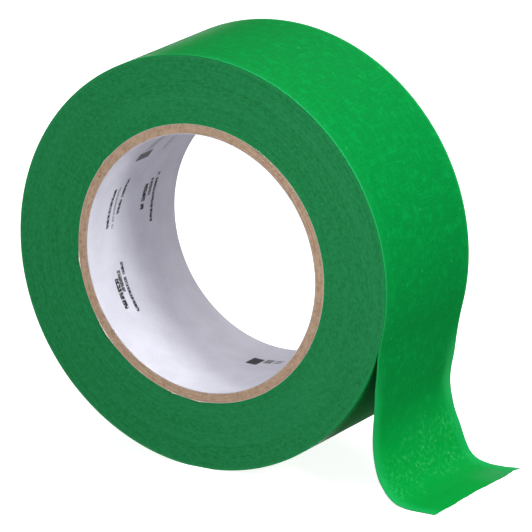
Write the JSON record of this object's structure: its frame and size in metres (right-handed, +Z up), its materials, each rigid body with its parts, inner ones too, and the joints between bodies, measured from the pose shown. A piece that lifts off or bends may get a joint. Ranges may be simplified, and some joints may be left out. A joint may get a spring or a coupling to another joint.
{
  "type": "masking tape roll",
  "caption": "Roll of wide green paper masking tape on a white-lined cardboard core, standing on its rim, with a short free tail that hangs and curls onto the floor.",
  "frame": {"origin": "centre of the core's bore, half way across the width of the tape", "axes": "+Y along the bore's axis, away from the side that is seen first, +Z up, and +X towards the side where the free tail hangs; the roll stands on its rim"},
  "size_m": [0.1399, 0.048, 0.1234],
  "materials": {
    "liner_paper": "matt white printed paper",
    "kraft_board": "cut edge of kraft board",
    "cover_paper": "thin white paper",
    "tape_edges": "slit edges of wound green paper tape, matt",
    "tape_paper": "smooth saturated green masking paper, satin",
    "adhesive_film": "clear tacky adhesive over green paper"
  },
  "bodies": {
    "roll": {"core_liner": "liner_paper", "core_ply_1": "kraft_board", "core_ply_2": "kraft_board", "core_ply_3": "kraft_board", "core_ply_4": "kraft_board", "core_ply_5": "kraft_board", "core_cover": "cover_paper", "tape_windings": "tape_edges", "outer_turn": "tape_paper"},
    "hang": {"tail_hang": "tape_paper", "hang_adhesive": "adhesive_film"},
    "sweep": {"tail_sweep": "tape_paper", "sweep_adhesive": "adhesive_film"},
    "foot": {"tail_foot": "tape_paper", "foot_adhesive": "adhesive_film"}
  },
  "joints": [
    {"name": "tail_peel", "type": "hinge", "parent": "roll", "child": "hang", "pos_m": [0.06, 0, -0.01496], "axis": [0, -1, 0], "range_deg": [0, 60], "stiffness_Nm_per_rad": 0.0004},
    {"name": "tail_bend", "type": "hinge", "parent": "hang", "child": "sweep", "pos_m": [0.05705, 0, -0.03901], "axis": [0, -1, 0], "range_deg": [0, 45], "stiffness_Nm_per_rad": 0.0004},
    {"name": "tail_curl", "type": "hinge", "parent": "sweep", "child": "foot", "pos_m": [0.06127, 0, -0.05803], "axis": [0, -1, 0], "range_deg": [0, 45], "stiffness_Nm_per_rad": 0.0004}
  ]
}
